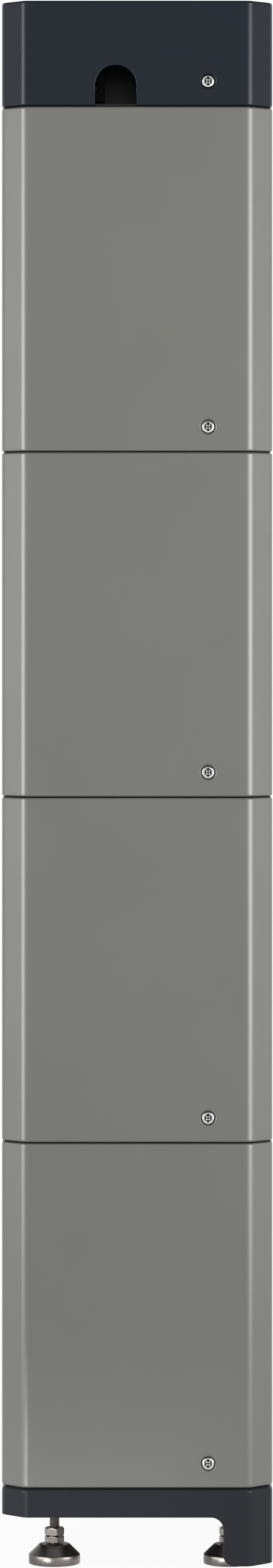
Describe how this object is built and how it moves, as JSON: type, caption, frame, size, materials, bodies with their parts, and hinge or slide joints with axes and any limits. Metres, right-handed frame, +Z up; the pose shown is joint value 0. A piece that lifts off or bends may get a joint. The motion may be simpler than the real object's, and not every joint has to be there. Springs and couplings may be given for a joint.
{
  "type": "stacked home battery tower",
  "caption": "Tall chamfered tower of equal grey battery modules on a dark base with levelling feet, under a dark hood with a cable arch.",
  "frame": {"origin": "on the floor under the middle of the tower, level with the undersides of the foot pads", "axes": "+Z up the tower, -Y towards the end with the cable arch, +X towards the skirted front"},
  "size_m": [0.262, 0.45, 1.518],
  "materials": {
    "grey_paint": "fine satin powder coat",
    "dark_paint": "fine satin powder coat",
    "dark_coat": "black dip coat, satin",
    "zinc_steel": "zinc plated",
    "stainless": "turned stainless",
    "black_plastic": "fine moulded texture",
    "knob_plastic": "moulded",
    "cell_can": "drawn can",
    "frame_plastic": "glass-filled, moulded",
    "busbar": "copper bar",
    "circuit_board": "solder mask",
    "fuse_body": "ceramic white"
  },
  "bodies": {
    "base": {"base_plinth": "dark_paint", "base_rails": "zinc_steel", "foot_bosses": "zinc_steel", "base_deck": "dark_coat", "base_plug": "black_plastic"},
    "foot_left_near": {"foot_stud_left_near": "stainless"},
    "pad_left_near": {"foot_pad_left_near": "stainless"},
    "nut_left_near": {"locknut_left_near": "stainless"},
    "foot_right_near": {"foot_stud_right_near": "stainless"},
    "pad_right_near": {"foot_pad_right_near": "stainless"},
    "nut_right_near": {"locknut_right_near": "stainless"},
    "foot_left_far": {"foot_stud_left_far": "stainless"},
    "pad_left_far": {"foot_pad_left_far": "stainless"},
    "nut_left_far": {"locknut_left_far": "stainless"},
    "foot_right_far": {"foot_stud_right_far": "stainless"},
    "pad_right_far": {"foot_pad_right_far": "stainless"},
    "nut_right_far": {"locknut_right_far": "stainless"},
    "module_1": {"module_1_casing": "grey_paint", "module_1_lid": "dark_coat", "module_1_cells": "cell_can", "module_1_busbars": "busbar", "module_1_clamp_frame": "frame_plastic", "module_1_cell_board": "circuit_board", "module_1_socket": "black_plastic", "module_1_plug": "black_plastic"},
    "module_2": {"module_2_casing": "grey_paint", "module_2_lid": "dark_coat", "module_2_cells": "cell_can", "module_2_busbars": "busbar", "module_2_clamp_frame": "frame_plastic", "module_2_cell_board": "circuit_board", "module_2_socket": "black_plastic", "module_2_plug": "black_plastic"},
    "module_3": {"module_3_casing": "grey_paint", "module_3_lid": "dark_coat", "module_3_cells": "cell_can", "module_3_busbars": "busbar", "module_3_clamp_frame": "frame_plastic", "module_3_cell_board": "circuit_board", "module_3_socket": "black_plastic", "module_3_plug": "black_plastic"},
    "module_4": {"module_4_casing": "grey_paint", "module_4_lid": "dark_coat", "module_4_cells": "cell_can", "module_4_busbars": "busbar", "module_4_clamp_frame": "frame_plastic", "module_4_cell_board": "circuit_board", "module_4_socket": "black_plastic", "module_4_plug": "black_plastic"},
    "control_unit": {"chassis": "dark_paint", "control_socket": "black_plastic", "connector_panel": "dark_paint", "power_terminals": "black_plastic", "signal_block": "black_plastic", "isolator": "black_plastic", "control_board": "circuit_board", "contactors": "black_plastic", "main_fuse": "fuse_body"},
    "hood": {"hood": "dark_paint"},
    "isolator_knob": {"isolator_knob": "knob_plastic"}
  },
  "joints": [
    {"name": "foot_left_near_height", "type": "slide", "parent": "base", "child": "foot_left_near", "axis": [0, 0, 1], "range_m": [-0.01, 0.0045]},
    {"name": "foot_left_near_tilt", "type": "hinge", "parent": "foot_left_near", "child": "pad_left_near", "pos_m": [-0.0805, -0.175, 0.0122], "axis": [1, 0, 0], "range_deg": [-5, 5]},
    {"name": "nut_left_near_travel", "type": "slide", "parent": "foot_left_near", "child": "nut_left_near", "axis": [0, 0, 1], "range_m": [0, 0.012]},
    {"name": "foot_right_near_height", "type": "slide", "parent": "base", "child": "foot_right_near", "axis": [0, 0, 1], "range_m": [-0.01, 0.0045]},
    {"name": "foot_right_near_tilt", "type": "hinge", "parent": "foot_right_near", "child": "pad_right_near", "pos_m": [0.0896, -0.175, 0.0122], "axis": [1, 0, 0], "range_deg": [-5, 5]},
    {"name": "nut_right_near_travel", "type": "slide", "parent": "foot_right_near", "child": "nut_right_near", "axis": [0, 0, 1], "range_m": [0, 0.012]},
    {"name": "foot_left_far_height", "type": "slide", "parent": "base", "child": "foot_left_far", "axis": [0, 0, 1], "range_m": [-0.01, 0.0045]},
    {"name": "foot_left_far_tilt", "type": "hinge", "parent": "foot_left_far", "child": "pad_left_far", "pos_m": [-0.0805, 0.175, 0.0122], "axis": [1, 0, 0], "range_deg": [-5, 5]},
    {"name": "nut_left_far_travel", "type": "slide", "parent": "foot_left_far", "child": "nut_left_far", "axis": [0, 0, 1], "range_m": [0, 0.012]},
    {"name": "foot_right_far_height", "type": "slide", "parent": "base", "child": "foot_right_far", "axis": [0, 0, 1], "range_m": [-0.01, 0.0045]},
    {"name": "foot_right_far_tilt", "type": "hinge", "parent": "foot_right_far", "child": "pad_right_far", "pos_m": [0.0896, 0.175, 0.0122], "axis": [1, 0, 0], "range_deg": [-5, 5]},
    {"name": "nut_right_far_travel", "type": "slide", "parent": "foot_right_far", "child": "nut_right_far", "axis": [0, 0, 1], "range_m": [0, 0.012]},
    {"name": "module_4_lift", "type": "slide", "parent": "base", "child": "module_4", "axis": [0, 0, 1], "range_m": [0, 0.045]},
    {"name": "module_3_lift", "type": "slide", "parent": "module_4", "child": "module_3", "axis": [0, 0, 1], "range_m": [0, 0.045]},
    {"name": "module_2_lift", "type": "slide", "parent": "module_3", "child": "module_2", "axis": [0, 0, 1], "range_m": [0, 0.045]},
    {"name": "module_1_lift", "type": "slide", "parent": "module_2", "child": "module_1", "axis": [0, 0, 1], "range_m": [0, 0.045]},
    {"name": "control_unit_lift", "type": "slide", "parent": "module_1", "child": "control_unit", "axis": [0, 0, 1], "range_m": [0, 0.045]},
    {"name": "hood_lift", "type": "slide", "parent": "control_unit", "child": "hood", "axis": [0, 0, 1], "range_m": [0, 0.11]},
    {"name": "isolator_turn", "type": "hinge", "parent": "control_unit", "child": "isolator_knob", "pos_m": [0.066, -0.106, 1.4586], "axis": [0, -1, 0], "range_deg": [-90, 0]}
  ]
}
